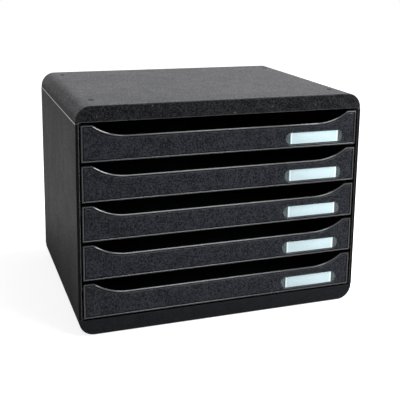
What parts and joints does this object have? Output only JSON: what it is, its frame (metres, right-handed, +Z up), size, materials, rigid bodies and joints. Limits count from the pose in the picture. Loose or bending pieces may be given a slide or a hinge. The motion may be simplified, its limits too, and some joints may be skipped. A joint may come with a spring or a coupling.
{
  "type": "desktop drawer organizer",
  "caption": "Low wide desktop casing with rounded long edges and stacked sliding drawers, each with a scooped, beaded front and a framed label.",
  "frame": {"origin": "middle of the casing's footprint, on the surface that the feet stand on", "axes": "+Z up, drawers open towards -Y, +X to the right as the fronts are seen"},
  "size_m": [0.355, 0.27, 0.271],
  "materials": {
    "casing": "fine-grained moulded polystyrene",
    "drawer": "grained moulded polystyrene with smooth edge bead",
    "foot_rubber": "matt",
    "label_card": "smooth coated card",
    "label_window": "clear polished"
  },
  "bodies": {
    "casing": {"top_cover": "casing", "base": "casing", "left_side_panel": "casing", "right_side_panel": "casing", "back_panel": "casing", "foot_front_left": "foot_rubber", "foot_front_right": "foot_rubber", "foot_rear_left": "foot_rubber", "foot_rear_right": "foot_rubber"},
    "drawer_1_body": {"drawer_1": "drawer", "label_card_1": "label_card", "label_window_1": "label_window"},
    "drawer_2_body": {"drawer_2": "drawer", "label_card_2": "label_card", "label_window_2": "label_window"},
    "drawer_3_body": {"drawer_3": "drawer", "label_card_3": "label_card", "label_window_3": "label_window"},
    "drawer_4_body": {"drawer_4": "drawer", "label_card_4": "label_card", "label_window_4": "label_window"},
    "drawer_5_body": {"drawer_5": "drawer", "label_card_5": "label_card", "label_window_5": "label_window"}
  },
  "joints": [
    {"name": "drawer_1_slide", "type": "slide", "parent": "casing", "child": "drawer_1_body", "axis": [0, -1, 0], "range_m": [0, 0.198]},
    {"name": "drawer_2_slide", "type": "slide", "parent": "casing", "child": "drawer_2_body", "axis": [0, -1, 0], "range_m": [0, 0.198]},
    {"name": "drawer_3_slide", "type": "slide", "parent": "casing", "child": "drawer_3_body", "axis": [0, -1, 0], "range_m": [0, 0.198]},
    {"name": "drawer_4_slide", "type": "slide", "parent": "casing", "child": "drawer_4_body", "axis": [0, -1, 0], "range_m": [0, 0.198]},
    {"name": "drawer_5_slide", "type": "slide", "parent": "casing", "child": "drawer_5_body", "axis": [0, -1, 0], "range_m": [0, 0.198]}
  ]
}
